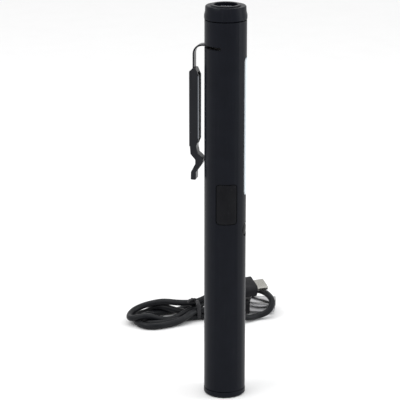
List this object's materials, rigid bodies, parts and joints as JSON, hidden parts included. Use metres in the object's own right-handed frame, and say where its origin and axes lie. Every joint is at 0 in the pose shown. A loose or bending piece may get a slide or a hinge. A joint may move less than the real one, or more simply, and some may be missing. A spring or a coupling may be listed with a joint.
{
  "type": "counterfeit detector pen",
  "caption": "Pen-shaped ultraviolet banknote detector with a side lamp, spring clip, covered charging port and a folded charging lead.",
  "frame": {"origin": "centre of the tail cap's flat end face, where the standing pen rests", "axes": "+Z along the pen from tail to head; the pocket clip is on -X and the side lamp on +X; the lead lies behind the pen towards +Y"},
  "size_m": [0.0752, 0.1292, 0.1735],
  "materials": {
    "anodised": "black anodised aluminium, fine matt grain",
    "spring_steel": "dark plated spring steel, satin",
    "rubber": "matt black moulded rubber",
    "nickel": "nickel plated",
    "plated_steel": "bright plated sheet steel",
    "clear_lens": "clear, polished",
    "reflector": "vacuum metallised",
    "board_white": "white solder resist",
    "board_green": "green solder resist",
    "emitter": "phosphor coated, satin",
    "moulding": "black moulded, fine texture",
    "insulator": "white moulded",
    "cable_moulding": "black overmoulding, satin",
    "lamp_cover": "milky clear, satin",
    "cell_sleeve": "shrink sleeve",
    "wire_red": "insulation",
    "wire_black": "insulation",
    "cord": "black jacket, soft sheen",
    "cable_tie": "black plastic strip on a wire core"
  },
  "bodies": {
    "root": {"body_tube": "anodised", "tail_cap": "anodised", "tail_seal": "rubber", "tail_magnet": "nickel", "battery_spring": "plated_steel", "head_bezel": "anodised", "head_lens": "clear_lens", "lens_seal": "rubber", "led_reflector": "reflector", "led_board": "board_white", "uv_emitter": "emitter", "clip_anchor_pin": "plated_steel", "clip_retainer": "moulding", "inner_sled": "moulding", "lamp_cover": "lamp_cover", "lamp_emitter": "emitter", "lamp_board": "board_white", "charge_socket": "plated_steel", "socket_tongue": "moulding", "switch_body": "plated_steel", "battery_cell": "cell_sleeve", "main_board": "board_green", "charge_chip": "moulding", "head_wire_red": "wire_red", "head_wire_black": "wire_black", "cell_wire_red": "wire_red", "cell_wire_black": "wire_black", "cable_hank": "cord", "cable_tie": "cable_tie", "cable_loop": "cord", "cable_to_plug_a": "cord", "cable_to_plug_b": "cord", "plug_a_grip": "cable_moulding", "plug_a_shell": "plated_steel", "plug_a_tongue": "insulator", "plug_a_relief": "cable_moulding", "plug_b_grip": "cable_moulding", "plug_b_shell": "plated_steel", "plug_b_tongue": "moulding", "plug_b_relief": "cable_moulding"},
    "clip": {"pocket_clip": "spring_steel"},
    "port_flap": {"port_cover": "rubber"},
    "button": {"power_button": "rubber", "switch_plunger": "moulding"}
  },
  "joints": [
    {"name": "clip_flex", "type": "hinge", "parent": "root", "child": "clip", "pos_m": [-0.0084, 0, 0.1559], "axis": [0, 1, 0], "range_deg": [0, 5], "stiffness_Nm_per_rad": 0.5},
    {"name": "port_cover_open", "type": "hinge", "parent": "root", "child": "port_flap", "pos_m": [0.0026, -0.00883, 0.0797], "axis": [0.9593, 0.2823, 0], "range_deg": [0, 100]},
    {"name": "button_press", "type": "slide", "parent": "root", "child": "button", "axis": [-1, 0, 0], "range_m": [0, 0.0004], "stiffness_N_per_m": 600}
  ]
}
